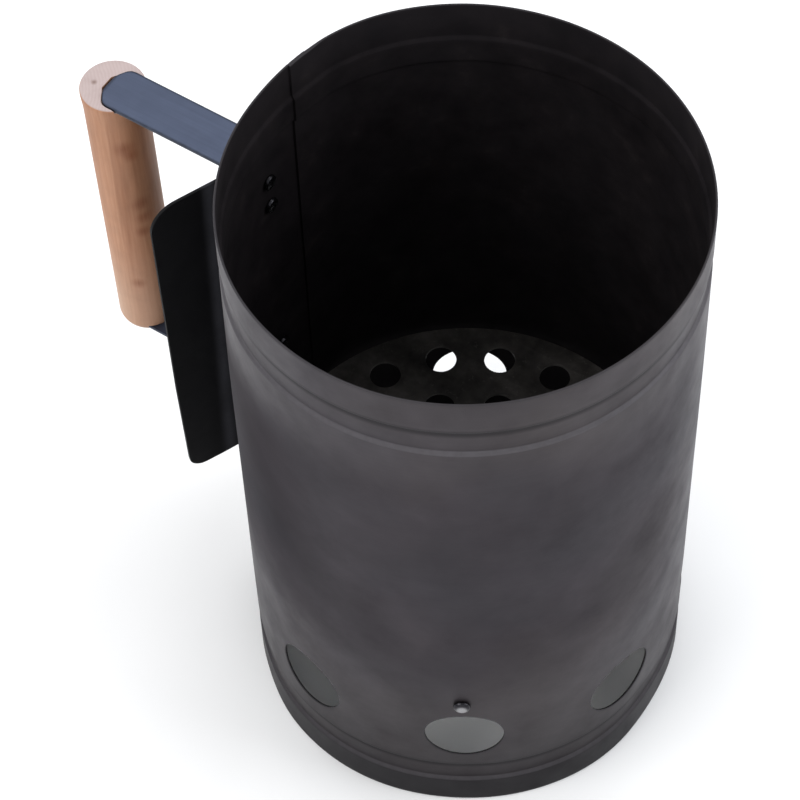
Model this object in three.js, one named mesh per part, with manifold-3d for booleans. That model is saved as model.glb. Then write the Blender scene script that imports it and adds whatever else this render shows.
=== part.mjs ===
// Chimney charcoal starter: a rolled sheet-steel chimney with a punched grate,
// and a wooden grip carried on two flat steel arms behind a folded heat shield.
// Millimetres, +Z up. The chimney stands on z = 0. The grip is on the -X side.
// The origin is the middle of the whole object's footprint, at the ground.
import * as THREE from 'three';
import { mergeVertices } from 'three/addons/utils/BufferGeometryUtils.js';
import Module from 'manifold-3d';

const wasm = await Module();
wasm.setup();

// ---------------------------------------------------------------- dimensions
// chimney body
const BODY_R = 82.5;            // outside radius
const BODY_H = 270;             // height
const WALL = 0.8;               // sheet thickness
const BODY_SEG = 72;            // facets round the chimney
const SWAGE = 1.0;              // depth of the rolled-in stiffening grooves
const GROOVE_TOP = [240.6, 242.2, 252.6, 254.4];  // z of the upper groove's four corners
const GROOVE_BOTTOM = [14.8, 16.4, 26.6, 28.4];   // z of the lower groove's four corners
const HEM_H = 6;                // bottom edge folded inwards over this height
const SEAM_AZ = 163.5;          // the lap seam runs from here, degrees about +Z from +X
const SEAM_WIDE = 5.6;          // to the free edge of its inner sheet, this many degrees on
// air vents, evenly pitched; the eighth place is taken by the seam
const VENT_R = 14.75;
const VENT_Z = 50.7;
const VENT_FIRST = -58.2;       // azimuth of the vent under the first grate rivet
const VENT_PITCH = 45;
const VENT_COUNT = 7;
// grate
const GRATE_Z = 82.0;           // underside of the grate plate
const GRATE_T = 1.2;
const GRATE_R = 79.4;
const EAR_HALF = 5.8;           // half width of an ear, degrees
const EAR_OUT = BODY_R - WALL - 0.4;
const EAR_BOTTOM = 67.0;
const GRATE_RIVET_Z = 74.5;
const GRATE_RIVET_FIRST = -58.7;
const GRATE_RIVETS = 3;         // evenly pitched; the two behind can't be seen in the photograph
const GRATE_HOLES = [[0, 1, 6.5], [22.5, 6, 6.0], [44, 12, 6.0], [65.5, 18, 6.0]]; // pitch radius, count, hole radius
// grip and arms
const GRIP_AXIS = 145.6;        // distance of the grip's axis from the chimney's axis
const GRIP_R = 11.5;
const GRIP_TOP = 232.2;
const GRIP_BOTTOM = 97.8;
const ARM_W = 18;
const ARM_T = 1.5;
const ARM_TOP = 232.8;          // top face of the upper arm
const ARM_MID = 167.15;         // the lower arm is the upper one turned over about this height
const ARM_TIP = 148;            // end of the arm, from the chimney's axis
const FOOT_IN = BODY_R + 0.3;   // inner face of a foot
const FOOT_LEN = 31;
const FOOT_RIVET_DROP = [10.5, 23.5]; // rivets below the top face of the arm
const TANG_HALF = 2.4;          // half width of the tang at the upper arm's end
const TANG_DEPTH = 13;
// heat shield
const SHIELD_T = 1.2;
const SHIELD_R = 94.9;          // middle panel, distance of its mid-plane from the chimney's axis
const SHIELD_BEND = 6.5;        // bend lines at this offset to each side
const SHIELD_HALF = 34.2;       // side edges
const SHIELD_FLARE = 23.5;      // degrees, wings turned out towards the hand
const SHIELD_BEND_R = 8;
const SHIELD_Z = [61, 222];
const SHIELD_CORNER = 11;
const TAB_W = 9.6;
const TAB_END = 86.8;           // free end of the two fixing tabs
const TAB_RIVET = 90.2;
const GAP = 0.3;                // clearance between pieces that touch
// rivets: shank radius, head radius, head height
const RIVET = { shank: 2.0, hole: 2.3, head: 3.25, high: 2.1, tail: 3.1, tailHigh: 1.5 };

// the chimney's axis stands this far along +X from the origin
const AXIS_X = (GRIP_AXIS + GRIP_R - BODY_R) / 2;

const rad = THREE.MathUtils.degToRad;

// ------------------------------------------------------------------- helpers
function toSolid(geometry) {
  const g = geometry.index ? geometry.toNonIndexed() : geometry.clone();
  for (const name of Object.keys(g.attributes)) if (name !== 'position') g.deleteAttribute(name);
  const m = mergeVertices(g, 1e-4);
  const pos = m.attributes.position.array;
  const src = m.index.array;
  const tri = [];
  let volume = 0;
  const a = new THREE.Vector3(), b = new THREE.Vector3(), c = new THREE.Vector3();
  for (let i = 0; i < src.length; i += 3) {
    const [p, q, r] = [src[i], src[i + 1], src[i + 2]];
    if (p === q || q === r || r === p) continue;
    tri.push(p, q, r);
    a.fromArray(pos, 3 * p); b.fromArray(pos, 3 * q); c.fromArray(pos, 3 * r);
    volume += a.dot(b.clone().cross(c));
  }
  if (volume < 0) for (let i = 0; i < tri.length; i += 3) [tri[i + 1], tri[i + 2]] = [tri[i + 2], tri[i + 1]];
  return new wasm.Manifold(new wasm.Mesh({
    numProp: 3, vertProperties: new Float32Array(pos), triVerts: new Uint32Array(tri),
  }));
}

function toGeometry(solid) {
  const mesh = solid.getMesh();
  const count = mesh.vertProperties.length / mesh.numProp;
  const pos = new Float32Array(count * 3);
  for (let i = 0; i < count; i++) for (let k = 0; k < 3; k++) pos[3 * i + k] = mesh.vertProperties[mesh.numProp * i + k];
  const g = new THREE.BufferGeometry();
  g.setAttribute('position', new THREE.BufferAttribute(pos, 3));
  g.setIndex(new THREE.BufferAttribute(new Uint32Array(mesh.triVerts), 1));
  g.computeVertexNormals();
  return g;
}

// solid of revolution about +Z from a closed profile of [radius, height] points
function revolve(points, segments) {
  const loop = points.map(([r, z]) => new THREE.Vector2(r, z));
  if (points[0][0] > 0 || points[points.length - 1][0] > 0) loop.push(loop[0].clone());
  return toSolid(new THREE.LatheGeometry(loop, segments).rotateX(Math.PI / 2));
}

function box(x0, x1, y0, y1, z0, z1) {
  return toSolid(new THREE.BoxGeometry(x1 - x0, y1 - y0, z1 - z0)
    .translate((x0 + x1) / 2, (y0 + y1) / 2, (z0 + z1) / 2));
}

// plate whose outline lies in the XY plane, from z0 to z1
function prismZ(points, z0, z1) {
  const shape = new THREE.Shape(points.map(([x, y]) => new THREE.Vector2(x, y)));
  return toSolid(new THREE.ExtrudeGeometry(shape, { depth: z1 - z0, bevelEnabled: false, curveSegments: 8 })
    .translate(0, 0, z0));
}

// plate whose outline lies in the XZ plane, across y0 to y1
function prismY(points, y0, y1) {
  const shape = new THREE.Shape(points.map(([x, z]) => new THREE.Vector2(x, z)));
  return toSolid(new THREE.ExtrudeGeometry(shape, { depth: y1 - y0, bevelEnabled: false, curveSegments: 8 })
    .rotateX(Math.PI / 2).translate(0, y1, 0));
}

// plate whose outline lies in the YZ plane, across x0 to x1
function prismX(points, x0, x1) {
  const shape = new THREE.Shape(points.map(([y, z]) => new THREE.Vector2(y, z)));
  const m = new THREE.Matrix4().set(0, 0, 1, x0, 1, 0, 0, 0, 0, 1, 0, 0, 0, 0, 0, 1);
  return toSolid(new THREE.ExtrudeGeometry(shape, { depth: x1 - x0, bevelEnabled: false, curveSegments: 8 }).applyMatrix4(m));
}

// pin along the ray at azimuth az and height z, from radius r0 to r1
function radialPin(az, z, radius, r0, r1, segments) {
  return toSolid(new THREE.CylinderGeometry(radius, radius, r1 - r0, segments)
    .rotateZ(-Math.PI / 2).translate((r0 + r1) / 2, 0, 0).rotateZ(rad(az)).translate(0, 0, z));
}

function arc(cx, cy, r, from, to, steps) {
  const out = [];
  for (let i = 0; i <= steps; i++) {
    const t = rad(from + (to - from) * i / steps);
    out.push([cx + r * Math.cos(t), cy + r * Math.sin(t)]);
  }
  return out;
}

// domed rivet along +Z: the tail ends at z = 0 side, grip is the length between the heads
function rivetGeometry(grip) {
  const { shank, head, high, tail, tailHigh } = RIVET;
  const p = [[0, -tailHigh], [tail - 0.6, -tailHigh], [tail, -tailHigh + 0.6], [tail, 0], [shank, 0], [shank, grip], [head, grip], [head, grip + 0.5]];
  for (const t of [34, 64]) p.push([head * Math.cos(rad(t)), grip + 0.5 + (high - 0.5) * Math.sin(rad(t))]);
  p.push([0, grip + high]);
  return new THREE.LatheGeometry(p.map(([r, z]) => new THREE.Vector2(r, z)), 12).rotateX(Math.PI / 2);
}

const object = new THREE.Group();
const chimney = new THREE.Group();      // everything is set out about the chimney's axis
chimney.position.set(AXIS_X, 0, 0);
object.add(chimney);

function add(name, solid, colour, roughness, metalness) {
  const geometry = solid.isBufferGeometry ? toGeometry(toSolid(solid)) : toGeometry(solid);
  const mesh = new THREE.Mesh(geometry, new THREE.MeshStandardMaterial({ color: colour, roughness, metalness }));
  mesh.name = name;
  chimney.add(mesh);
  return mesh;
}

// --------------------------------------------------------------- body shell
const ri = BODY_R - WALL;
const [t0, t1, t2, t3] = GROOVE_TOP;
const [b0, b1, b2, b3] = GROOVE_BOTTOM;
const outside = [[BODY_R, 0], [BODY_R, b0], [BODY_R - SWAGE, b1], [BODY_R - SWAGE, b2], [BODY_R, b3],
  [BODY_R, t0], [BODY_R - SWAGE, t1], [BODY_R - SWAGE, t2], [BODY_R, t3], [BODY_R, BODY_H]];
const inside = [[ri, BODY_H], [ri, t3 + 0.4], [ri - SWAGE, t2 + 0.4], [ri - SWAGE, t1 - 0.4], [ri, t0 - 0.4],
  [ri, b3 + 0.4], [ri - SWAGE, b2 + 0.4], [ri - SWAGE, b1 - 0.4], [ri, b0 - 0.4], [ri, HEM_H], [ri - WALL, HEM_H], [ri - WALL, 0]];
let shell = revolve([...outside, ...inside], BODY_SEG);

// lap seam: the sheet's inner end laid over the wall, following the grooves
const lapOut = inside.slice(0, 10).map(([r, z]) => [r + 0.05, z === BODY_H ? BODY_H - 0.4 : z]);
const lapIn = lapOut.map(([r, z]) => [r - 0.05 - WALL, z]).reverse();
const lapRing = revolve([...lapOut, ...lapIn], BODY_SEG);
const sector = prismZ([[40 * Math.cos(rad(SEAM_AZ)), 40 * Math.sin(rad(SEAM_AZ))],
  [90 * Math.cos(rad(SEAM_AZ)), 90 * Math.sin(rad(SEAM_AZ))],
  [90 * Math.cos(rad(SEAM_AZ + SEAM_WIDE)), 90 * Math.sin(rad(SEAM_AZ + SEAM_WIDE))],
  [40 * Math.cos(rad(SEAM_AZ + SEAM_WIDE)), 40 * Math.sin(rad(SEAM_AZ + SEAM_WIDE))]], 1, BODY_H - 0.4);
shell = shell.add(lapRing.intersect(sector));

for (let i = 0; i < VENT_COUNT; i++)
  shell = shell.subtract(radialPin(VENT_FIRST + VENT_PITCH * (i - 2), VENT_Z, VENT_R, 70, 92, 36));
for (let i = 0; i < GRATE_RIVETS; i++)
  shell = shell.subtract(radialPin(GRATE_RIVET_FIRST + 360 / GRATE_RIVETS * i, GRATE_RIVET_Z, RIVET.hole, 76, 88, 16));
for (const drop of FOOT_RIVET_DROP) for (const z of [ARM_TOP - drop, 2 * ARM_MID - ARM_TOP + drop])
  shell = shell.subtract(radialPin(180, z, RIVET.hole, 76, 88, 16));
add('body_shell', shell, 0x4a4a4c, 0.42, 0.85);

// -------------------------------------------------------------------- grate
let grate = revolve([[0, GRATE_Z], [GRATE_R, GRATE_Z], [GRATE_R, GRATE_Z + GRATE_T], [0, GRATE_Z + GRATE_T]], 48);
const earRing = revolve([[EAR_OUT - GRATE_T, EAR_BOTTOM], [EAR_OUT, EAR_BOTTOM], [EAR_OUT, GRATE_Z - 0.8], [EAR_OUT - 0.35, GRATE_Z + 0.5],
  [EAR_OUT - 1.2, GRATE_Z + GRATE_T], [74, GRATE_Z + GRATE_T], [74, GRATE_Z], [EAR_OUT - GRATE_T, GRATE_Z]], 120);
for (let i = 0; i < GRATE_RIVETS; i++) {
  const az = GRATE_RIVET_FIRST + 360 / GRATE_RIVETS * i;
  const wedge = prismZ([-EAR_HALF, EAR_HALF].flatMap((d, k) => {
    const inner = [60 * Math.cos(rad(az + d * 1.2)), 60 * Math.sin(rad(az + d * 1.2))];
    const outer = [90 * Math.cos(rad(az + d)), 90 * Math.sin(rad(az + d))];
    return k ? [outer, inner] : [inner, outer];
  }), EAR_BOTTOM - 1, GRATE_Z + GRATE_T + 1);
  grate = grate.add(earRing.intersect(wedge));
}
for (const [pitch, count, radius] of GRATE_HOLES)
  for (let i = 0; i < count; i++) {
    const a = rad(GRATE_RIVET_FIRST + 360 * (i + 0.5) / count);
    grate = grate.subtract(toSolid(new THREE.CylinderGeometry(radius, radius, 6, 12).rotateX(Math.PI / 2)
      .translate(pitch * Math.cos(a), pitch * Math.sin(a), GRATE_Z)));
  }
for (let i = 0; i < GRATE_RIVETS; i++)
  grate = grate.subtract(radialPin(GRATE_RIVET_FIRST + 360 / GRATE_RIVETS * i, GRATE_RIVET_Z, RIVET.hole, 72, 88, 16));
add('grate', grate, 0x55524e, 0.55, 0.8);

// rivets through the wall and the grate's ears, domed heads outside
for (let i = 0; i < GRATE_RIVETS; i++) {
  const from = EAR_OUT - GRATE_T - GAP;
  const g = rivetGeometry(BODY_R + GAP - from).rotateY(Math.PI / 2).translate(from, 0, 0)
    .rotateZ(rad(GRATE_RIVET_FIRST + 360 / GRATE_RIVETS * i)).translate(0, 0, GRATE_RIVET_Z);
  add(`grate_rivet_${i + 1}`, g, 0x6a6a6c, 0.35, 0.9);
}

// ---------------------------------------------------------------------- arms
// side view, distance from the chimney's axis along x: foot down the wall, arm out to the grip
const tipHalf = [[141.8, ARM_W / 2], [143.4, 8.7], [144.6, 7.8], [145.7, 6.2], [146.8, 4.3], [147.5, 3.3], [ARM_TIP, TANG_HALF]];
function tipPlan(grow, from) {
  // outline of an arm's end, from the given distance to its tip
  const side = tipHalf.map(([x, y]) => [x + grow, y + grow]);
  return [[from, -ARM_W / 2 - grow], ...side.map(([x, y]) => [x, -y]), ...side.reverse(), [from, ARM_W / 2 + grow]];
}
function armSolid(tang) {
  const top = ARM_TOP, under = ARM_TOP - ARM_T, ro = 4.2, rIn = ro - ARM_T;
  const side = [[FOOT_IN + ARM_T, top - FOOT_LEN], [FOOT_IN, top - FOOT_LEN],
    ...arc(FOOT_IN + ro, top - ro, ro, 180, 90, 6), [ARM_TIP, top], [ARM_TIP, under],
    ...arc(FOOT_IN + ro, top - ro, rIn, 90, 180, 6)];
  let s = prismY(side, -ARM_W, ARM_W).intersect(prismZ(tipPlan(0, 60), 150, 260));
  // the foot's end is rounded
  const foot = [[-ARM_W / 2 - 1, 300], [-ARM_W / 2 - 1, top - FOOT_LEN + 5], ...arc(-ARM_W / 2 + 5, top - FOOT_LEN + 5, 5, 180, 270, 4),
    ...arc(ARM_W / 2 - 5, top - FOOT_LEN + 5, 5, 270, 360, 4), [ARM_W / 2 + 1, top - FOOT_LEN + 5], [ARM_W / 2 + 1, 300]];
  s = s.intersect(prismX(foot, 60, 170));
  // tang bent down into the grip's end
  if (tang) s = s.add(box(ARM_TIP - ARM_T, ARM_TIP, -TANG_HALF, TANG_HALF, top - ARM_T - TANG_DEPTH, top - 0.6));
  for (const drop of FOOT_RIVET_DROP) s = s.subtract(radialPin(0, top - drop, RIVET.hole, 78, 92, 16));
  s = s.subtract(toSolid(new THREE.CylinderGeometry(RIVET.hole, RIVET.hole, 8, 16).rotateX(Math.PI / 2)
    .translate(TAB_RIVET, 0, top)));
  return s;
}
const upperArm = add('upper_arm', armSolid(true), 0x566078, 0.38, 0.9);
upperArm.rotation.z = Math.PI;
const lowerArm = add('lower_arm', armSolid(false), 0x565b66, 0.4, 0.9);
lowerArm.rotation.set(Math.PI, 0, Math.PI);
lowerArm.position.z = 2 * ARM_MID;

// rivets through the feet and the wall
[['upper', ARM_TOP, -1], ['lower', 2 * ARM_MID - ARM_TOP, 1]].forEach(([which, z, sign]) => {
  FOOT_RIVET_DROP.forEach((drop, i) => {
    const from = ri - GAP;
    const g = rivetGeometry(FOOT_IN + ARM_T + GAP - from).rotateY(Math.PI / 2).translate(from, 0, 0)
      .rotateZ(Math.PI).translate(0, 0, z + sign * drop);
    add(`${which}_arm_rivet_${i + 1}`, g, 0x6a6a6c, 0.35, 0.9);
  });
});

// --------------------------------------------------------------- heat shield
// plan section, x = distance from the chimney's axis towards the grip, y = sideways
function shieldSection() {
  const f = rad(SHIELD_FLARE), h = SHIELD_T / 2;
  const tangent = SHIELD_BEND_R * Math.tan(f / 2);
  const right = [];
  const side = (offset) => {
    // offset to the hand side (+) or the chimney side (-) of the mid-plane
    const r = SHIELD_BEND_R - offset;           // bend centre is on the hand side
    const cx = SHIELD_R + SHIELD_BEND_R, cy = SHIELD_BEND - tangent;
    const out = [];
    for (let i = 0; i <= 5; i++) {
      const t = f * i / 5;
      out.push([cx - r * Math.cos(t), cy + r * Math.sin(t)]);
    }
    const last = out[out.length - 1];
    const run = (SHIELD_HALF + 1.5 - last[1]) / Math.cos(f);
    out.push([last[0] + run * Math.sin(f), last[1] + run * Math.cos(f)]);
    return out;
  };
  const hand = side(h), hot = side(-h);
  const mirror = (list) => list.map(([x, y]) => [x, -y]);
  right.push(...hand, ...hot.slice().reverse(), ...mirror(hot), ...mirror(hand).reverse());
  return right;
}
const [sz0, sz1] = SHIELD_Z, sc = SHIELD_CORNER, sh = SHIELD_HALF;
let shield = prismZ(shieldSection(), sz0, sz1);
shield = shield.intersect(prismX([
  ...arc(sh - sc, sz0 + sc, sc, 270, 360, 6), ...arc(sh - sc, sz1 - sc, sc, 0, 90, 6),
  ...arc(-sh + sc, sz1 - sc, sc, 90, 180, 6), ...arc(-sh + sc, sz0 + sc, sc, 180, 270, 6)], 90, 120));
// opening that the lower arm passes through; its metal is the lower fixing tab
const lowTop = 2 * ARM_MID - ARM_TOP + ARM_T, lowUnder = 2 * ARM_MID - ARM_TOP;
shield = shield.subtract(box(90, 110, -ARM_W / 2 - 0.8, ARM_W / 2 + 0.8, lowUnder - GAP, lowUnder + 11.5));
const tabOut = SHIELD_R + SHIELD_T / 2, tabRo = 2.6, tabRi = tabRo - SHIELD_T;
function tab(face, sign, root) {
  // face: height of the tab's contact face; sign +1 when the tab rises to it from below
  const p = [[tabOut - SHIELD_T, root], ...arc(tabOut - tabRo, face - sign * tabRo, tabRi, 0, 90 * sign, 4),
    [TAB_END, face - sign * SHIELD_T], [TAB_END, face], ...arc(tabOut - tabRo, face - sign * tabRo, tabRo, 90 * sign, 0, 4),
    [tabOut, root]];
  return prismY(p, -TAB_W / 2, TAB_W / 2);
}
const upTabFace = ARM_TOP - ARM_T - GAP, lowTabFace = lowUnder - GAP;
shield = shield.add(tab(upTabFace, 1, sz1 - 6)).add(tab(lowTabFace, 1, lowTabFace - 9));
shield = shield.subtract(toSolid(new THREE.CylinderGeometry(RIVET.hole, RIVET.hole, 8, 16).rotateX(Math.PI / 2)
  .translate(TAB_RIVET, 0, upTabFace)));
shield = shield.subtract(toSolid(new THREE.CylinderGeometry(RIVET.hole, RIVET.hole, 8, 16).rotateX(Math.PI / 2)
  .translate(TAB_RIVET, 0, lowTabFace)));
const shieldMesh = add('heat_shield', shield, 0x101012, 0.5, 0.3);
shieldMesh.rotation.z = Math.PI;

// rivets through each tab and its arm
{
  const grip = ARM_TOP + GAP - (upTabFace - SHIELD_T - GAP);
  add('shield_rivet_upper', rivetGeometry(grip).translate(-TAB_RIVET, 0, upTabFace - SHIELD_T - GAP), 0x2a2a2c, 0.4, 0.8);
  add('shield_rivet_lower', rivetGeometry(lowTop + GAP - (lowTabFace - SHIELD_T - GAP))
    .rotateX(Math.PI).translate(-TAB_RIVET, 0, lowTop + GAP), 0x2a2a2c, 0.4, 0.8);
}

// --------------------------------------------------------------- wooden grip
const rb = 6.5;
let grip = revolve([[0, GRIP_BOTTOM], [GRIP_R - rb, GRIP_BOTTOM],
  ...arc(GRIP_R - rb, GRIP_BOTTOM + rb, rb, 270, 360, 6).slice(1),
  [GRIP_R, GRIP_TOP - 1.2], [GRIP_R - 0.35, GRIP_TOP - 0.35], [GRIP_R - 1.2, GRIP_TOP], [0, GRIP_TOP]], 32);
// the upper arm's end is let into the end face, its tang goes down a slot; the lower arm's end sits in a mortise
const grow = (z0, z1) => prismZ(tipPlan(GAP, 120).map(([x, y]) => [x - GRIP_AXIS, y]), z0, z1);
grip = grip.subtract(grow(ARM_TOP - ARM_T - GAP, GRIP_TOP + 5));
grip = grip.subtract(box(ARM_TIP - ARM_T - GAP - GRIP_AXIS, ARM_TIP + GAP - GRIP_AXIS, -TANG_HALF - GAP, TANG_HALF + GAP,
  ARM_TOP - ARM_T - TANG_DEPTH - GAP, GRIP_TOP + 5));
grip = grip.subtract(grow(lowUnder - GAP, lowTop + GAP));
const gripMesh = add('wooden_grip', grip, 0xb58a68, 0.6, 0);
gripMesh.position.x = -GRIP_AXIS;
gripMesh.rotation.z = Math.PI;

export default object;
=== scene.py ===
import math

import bmesh
import bpy
import numpy as np
from mathutils import Matrix, Vector


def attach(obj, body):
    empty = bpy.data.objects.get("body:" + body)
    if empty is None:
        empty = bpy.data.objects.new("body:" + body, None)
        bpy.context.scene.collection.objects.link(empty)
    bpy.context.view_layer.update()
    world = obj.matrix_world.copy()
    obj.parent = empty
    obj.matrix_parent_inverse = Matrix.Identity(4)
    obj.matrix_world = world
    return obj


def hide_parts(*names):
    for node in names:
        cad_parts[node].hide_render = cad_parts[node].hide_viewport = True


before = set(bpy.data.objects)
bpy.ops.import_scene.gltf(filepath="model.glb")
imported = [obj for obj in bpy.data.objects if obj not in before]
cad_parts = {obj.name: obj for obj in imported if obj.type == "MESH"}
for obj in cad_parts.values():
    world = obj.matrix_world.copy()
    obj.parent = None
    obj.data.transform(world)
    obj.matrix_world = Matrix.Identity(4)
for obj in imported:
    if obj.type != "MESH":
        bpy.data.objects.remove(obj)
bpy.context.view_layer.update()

# ------------------------------------------------------------------ dimensions, metres
mm = 0.001
AX = 37.3 * mm                 # the chimney's axis stands at this x
BODY_R, BODY_H, WALL = 82.5 * mm, 270 * mm, 0.8 * mm
SWAGE = 1.0 * mm
VENT_R, VENT_Z, VENT_FIRST, VENT_PITCH, VENT_COUNT = 14.75 * mm, 50.7 * mm, -58.2, 45.0, 7
SEAM0, SEAM1 = 163.5, 169.1     # the lap seam, degrees
GRATE_Z, GRATE_T = 82.0 * mm, 1.2 * mm
RIVET_Z, RIVET_AZ, RIVET_COUNT = 74.5 * mm, -58.7, 3
GROOVES = ((14.8, 16.4, 26.6, 28.4), (240.6, 242.2, 252.6, 254.4))     # mm, each groove's four corners
GRIP_X, GRIP_R, GRIP_TOP, GRIP_BOTTOM = 145.6 * mm, 11.5 * mm, 232.2 * mm, 97.8 * mm
ARM_TOP, ARM_T, ARM_HALF, ARM_MID = 232.8 * mm, 1.5 * mm, 9.0 * mm, 167.15 * mm
LEAN, LEAN_FROM = 0.0105, 160 * mm      # the handle leans out a little towards its top
rad = math.radians


def smooth(t):
    t = min(1.0, max(0.0, t))
    return t * t * (3 - 2 * t)


# The rolled sheet isn't perfectly round: radial offset in mm by direction (degrees), at four heights
ROUND_AT = (0.0, 70.0, 170.0, 270.0)
ROUND = (
    ((-180, 0), (-130, -.25), (-125, 0), (-120, .5), (-115, 1.05), (-95, 1.1), (-90, 1.0), (-80, .75), (-70, .25), (-60, 0), (-45, .25), (-35, .45),
     (-25, .7), (-15, .6), (-8, 0), (-2, -.5), (5, -.55), (15, -.1), (20, .25), (30, .45), (60, 0), (180, 0)),
    ((-180, 0), (0, 0), (15, .25), (25, .45), (45, .45), (60, 0), (180, 0)),
    ((-180, -.5), (-160, 0), (-10, 0), (10, .55), (50, .6), (75, 0), (160, 0), (180, -.5)),
    ((-180, -1.4), (-165, -1.2), (-150, -1.0), (-135, -.5), (-120, 0), (0, .1), (20, .4), (50, .4), (70, .2), (90, -.1), (105, -.1), (120, .25),
     (130, .45), (145, .9), (155, .5), (163, 0), (170, -.8), (180, -1.4)),
)


def round_tables():
    deg = np.arange(-180, 180, 1.0)
    kernel = np.exp(-0.5 * (np.arange(-18, 19) / 4.5) ** 2)
    kernel /= kernel.sum()
    out = []
    for knots in ROUND:
        v = np.interp(deg, [k[0] for k in knots], [k[1] for k in knots])
        out.append(np.convolve(np.concatenate((v[-18:], v, v[:18])), kernel, "valid"))
    return out


ROUND_TABLES = round_tables()


def out_of_round(p, z):
    """Radial offset in metres at direction p (degrees) and height z (metres)."""
    q = (p + 180.0) % 360.0
    k = int(q) % 360
    f = q - int(q)
    col = [t[k] * (1 - f) + t[(k + 1) % 360] * f for t in ROUND_TABLES]
    h = min(270.0, max(0.0, z / mm))
    i = 0
    while i < 2 and h > ROUND_AT[i + 1]:
        i += 1
    u = smooth((h - ROUND_AT[i]) / (ROUND_AT[i + 1] - ROUND_AT[i]))
    return (col[i] * (1 - u) + col[i + 1] * u) * mm


def settle(ob):
    """Handle pieces follow the wall at their feet and lean outwards beyond it."""
    for v in ob.data.vertices:
        r = AX - v.co.x
        k = smooth((r - 84 * mm) / (12 * mm))
        v.co.x -= LEAN * (v.co.z - LEAN_FROM) * k + out_of_round(180.0, v.co.z) * (1 - k)
    ob.data.update()


# ------------------------------------------------------------------ mesh helpers
def make_object(name, verts, faces, sharp=32, attrs=None, mats=(), face_mat=None):
    me = bpy.data.meshes.new(name)
    me.from_pydata([tuple(v) for v in verts], [], [tuple(f) for f in faces])
    me.validate()
    for p in me.polygons:
        p.use_smooth = True
    me.set_sharp_from_angle(angle=rad(sharp))
    for key, values in (attrs or {}).items():
        a = me.attributes.new(key, "FLOAT", "POINT")
        a.data.foreach_set("value", np.asarray(values, dtype=np.float32))
    for m in mats:
        me.materials.append(m)
    if face_mat is not None:
        me.polygons.foreach_set("material_index", np.asarray(face_mat, dtype=np.int32))
    me.update()
    ob = bpy.data.objects.new(name, me)
    bpy.context.scene.collection.objects.link(ob)
    return ob


def fix_normals(ob):
    bm = bmesh.new()
    bm.from_mesh(ob.data)
    bmesh.ops.recalc_face_normals(bm, faces=bm.faces)
    bm.to_mesh(ob.data)
    bm.free()
    ob.data.update()


def boolean(ob, cutters, operation="DIFFERENCE", sharp=32):
    """Applies a boolean with each cutter, then removes the cutters."""
    for c in cutters:
        mod = ob.modifiers.new("cut", "BOOLEAN")
        mod.operation, mod.solver, mod.object = operation, "EXACT", c
    dg = bpy.context.evaluated_depsgraph_get()
    new = bpy.data.meshes.new_from_object(ob.evaluated_get(dg))
    ob.modifiers.clear()
    old = ob.data
    ob.data = new
    new.name = old.name
    bpy.data.meshes.remove(old)
    for c in cutters:
        data = c.data
        bpy.data.objects.remove(c)
        bpy.data.meshes.remove(data)
    for p in new.polygons:
        p.use_smooth = True
    new.set_sharp_from_angle(angle=rad(sharp))
    return ob


def grid_faces(rows, cols, closed_rows=True, closed_cols=False):
    """Quads of a rows x cols vertex grid, row by row."""
    f = []
    for i in range(rows if closed_cols else rows - 1):
        for j in range(cols if closed_rows else cols - 1):
            a, b = i * cols + j, i * cols + (j + 1) % cols
            c, d = ((i + 1) % rows) * cols + (j + 1) % cols, ((i + 1) % rows) * cols + j
            f.append((a, b, c, d))
    return f


def lathe(name, profile, seg, place=None, sharp=32, attrs=None, mats=(), wobble=None):
    """Solid of revolution about +Z; the profile runs from the axis to the axis. Only the inner points make rings."""
    inner = profile[1:-1]
    verts = [(0, 0, profile[0][1])]
    for r, z in inner:
        for k in range(seg):
            t = 2 * math.pi * k / seg
            q = r + (wobble(t, z) if wobble else 0)
            verts.append((q * math.cos(t), q * math.sin(t), z))
    verts.append((0, 0, profile[-1][1]))
    faces = []
    n = len(inner)
    for k in range(seg):
        faces.append((0, 1 + (k + 1) % seg, 1 + k))
        faces.append((len(verts) - 1, 1 + (n - 1) * seg + k, 1 + (n - 1) * seg + (k + 1) % seg))
    for i in range(n - 1):
        for k in range(seg):
            a, b = 1 + i * seg + k, 1 + i * seg + (k + 1) % seg
            faces.append((a, b, b + seg, a + seg))
    if place:
        verts = [place(Vector(v)) for v in verts]
    ob = make_object(name, verts, faces, sharp, attrs, mats)
    fix_normals(ob)
    return ob


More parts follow.
